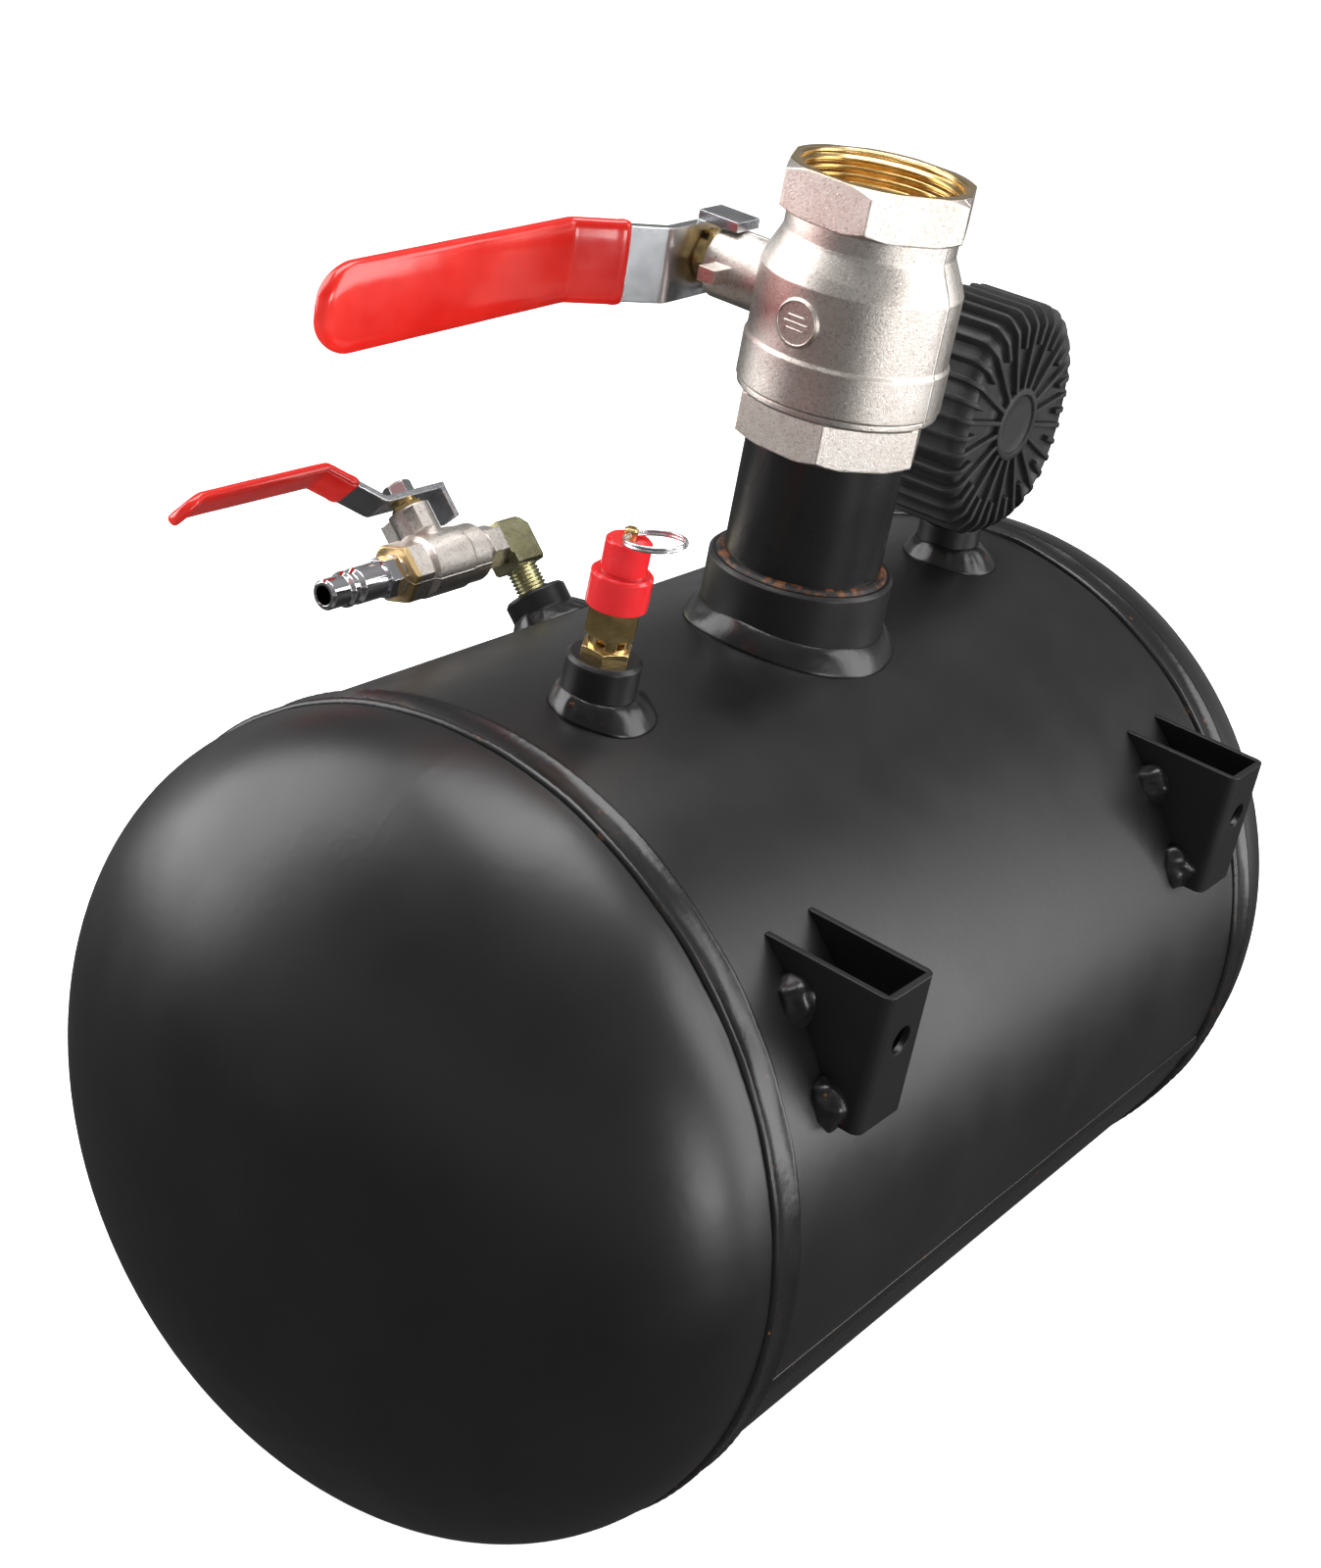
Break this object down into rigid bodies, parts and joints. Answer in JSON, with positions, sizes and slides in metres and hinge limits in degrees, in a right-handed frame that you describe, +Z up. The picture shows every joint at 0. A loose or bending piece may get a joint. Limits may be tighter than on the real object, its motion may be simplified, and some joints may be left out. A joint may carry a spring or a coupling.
{
  "type": "air receiver tank",
  "caption": "Horizontal cylindrical air tank with domed ends, a lever ball valve on a top outlet pipe, a small inlet valve, a relief valve and a booted gauge.",
  "frame": {"origin": "midway between the two bracket bolt holes, on the outer face of the bracket webs", "axes": "+X along the tank, +Z up along the outlet pipe, -Y out of the bracket webs, the way the tank is bolted to a wall"},
  "size_m": [0.4258, 0.2703, 0.3881],
  "materials": {
    "black_paint": "satin black powder coat",
    "weld_paint": "satin black over weld bead, rust at the toes",
    "nickel_brass": "shot-blasted nickel plate",
    "brass": "machined brass",
    "yellow_zinc": "yellow zinc plate",
    "zinc_steel": "bright zinc plate",
    "chrome": "polished chrome",
    "steel": "plain steel",
    "red_vinyl": "glossy dipped vinyl",
    "red_plastic": "moulded plastic",
    "ptfe": "white PTFE",
    "rubber": "moulded rubber",
    "gauge_black": "black enamel",
    "dial_white": "white enamel",
    "lens": "clear",
    "pointer_black": "matt black"
  },
  "bodies": {
    "tank": {"bourdon_tube": "brass", "elbow": "yellow_zinc", "far_bracket": "black_paint", "far_bracket_welds": "weld_paint", "far_girth_weld": "weld_paint", "far_head": "black_paint", "gauge_bezel": "gauge_black", "gauge_boot": "rubber", "gauge_bung": "black_paint", "gauge_bung_weld": "weld_paint", "gauge_case": "gauge_black", "gauge_dial": "dial_white", "gauge_lens": "lens", "gauge_movement": "brass", "gauge_socket": "brass", "hose_plug": "chrome", "inlet_bung": "black_paint", "inlet_bung_weld": "weld_paint", "main_gland": "brass", "main_packing": "ptfe", "main_seats": "ptfe", "main_valve_body": "nickel_brass", "main_valve_end": "nickel_brass", "near_bracket": "black_paint", "near_bracket_welds": "weld_paint", "near_girth_weld": "weld_paint", "near_head": "black_paint", "outlet_collar": "black_paint", "outlet_collar_weld": "weld_paint", "outlet_pipe": "black_paint", "outlet_pipe_weld": "weld_paint", "relief_body": "brass", "relief_bung": "black_paint", "relief_bung_weld": "weld_paint", "relief_cap": "red_plastic", "relief_spring": "steel", "seam_weld": "weld_paint", "shell": "black_paint", "small_gland": "brass", "small_packing": "ptfe", "small_seats": "ptfe", "small_valve_body": "nickel_brass", "small_valve_end": "nickel_brass"},
    "main_lever": {"main_ball": "chrome", "main_stem": "brass", "main_lever_plate": "zinc_steel", "main_grip": "red_vinyl", "main_lever_nut": "zinc_steel"},
    "small_lever": {"small_ball": "chrome", "small_stem": "brass", "small_lever_plate": "zinc_steel", "small_grip": "red_vinyl", "small_lever_nut": "zinc_steel"},
    "relief_lifter": {"relief_stem": "brass", "relief_disc": "brass"},
    "pull_ring": {"pull_ring": "zinc_steel"},
    "gauge_needle": {"gauge_pointer": "pointer_black"}
  },
  "joints": [
    {"name": "main_valve_turn", "type": "hinge", "parent": "tank", "child": "main_lever", "pos_m": [0, 0.1204, 0.1454], "axis": [0, 1, 0], "range_deg": [0, 90]},
    {"name": "small_valve_turn", "type": "hinge", "parent": "tank", "child": "small_lever", "pos_m": [-0.0365, 0.23247, 0.02955], "axis": [0, -0.7314, -0.682], "range_deg": [0, 90]},
    {"name": "relief_lift", "type": "slide", "parent": "tank", "child": "relief_lifter", "axis": [0, -0.0349, 0.9994], "range_m": [0, 0.003], "stiffness_N_per_m": 3000, "springref_m": -0.006, "deforming": ["relief_spring"]},
    {"name": "ring_swing", "type": "hinge", "parent": "relief_lifter", "child": "pull_ring", "pos_m": [-0.1005, 0.11429, 0.09829], "axis": [-1, 0, 0], "range_deg": [0, 170]},
    {"name": "needle_turn", "type": "hinge", "parent": "tank", "child": "gauge_needle", "pos_m": [0.0984, 0.12497, 0.09764], "axis": [0, -0.9997, 0.0262], "range_deg": [0, 270], "stiffness_Nm_per_rad": 0.0004, "springref_deg": -28.65}
  ]
}
